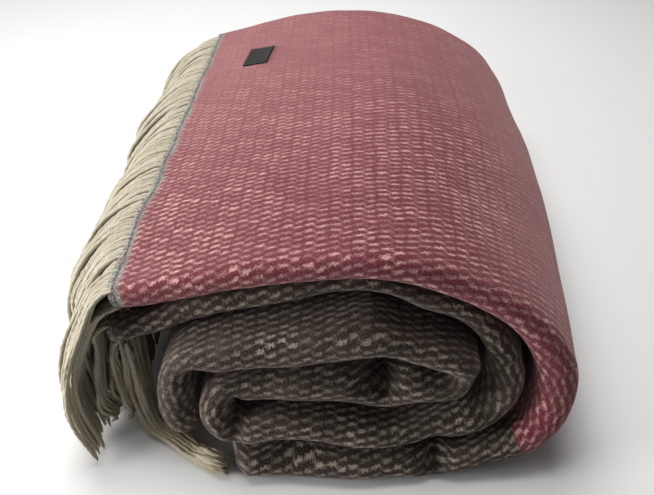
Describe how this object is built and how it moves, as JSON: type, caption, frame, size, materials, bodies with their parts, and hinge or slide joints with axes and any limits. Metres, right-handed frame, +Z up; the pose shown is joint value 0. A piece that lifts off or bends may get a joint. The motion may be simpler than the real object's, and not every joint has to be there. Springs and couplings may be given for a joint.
{
  "type": "folded wool blanket",
  "caption": "Wool throw with fringed ends, folded in three across its width, doubled end to end and rolled into a soft bundle that rests on its flat underside",
  "frame": {"origin": "middle of the box's underside, on the floor", "axes": "+X runs from the fringed ends at the left to the rounded turn at the right, +Y runs from the open end in front to the rear, +Z is up"},
  "size_m": [0.439, 0.5662, 0.1813],
  "materials": {
    "wool": "fulled wool, soft and matte, pink panel and grey panel",
    "cream_wool": "undyed twisted wool, matte",
    "woven_label": "flat woven ribbon, slight sheen"
  },
  "bodies": {
    "root": {"cloth": "wool", "fringe_pink_end": "cream_wool", "fringe_grey_end": "cream_wool", "label": "woven_label"}
  },
  "joints": []
}
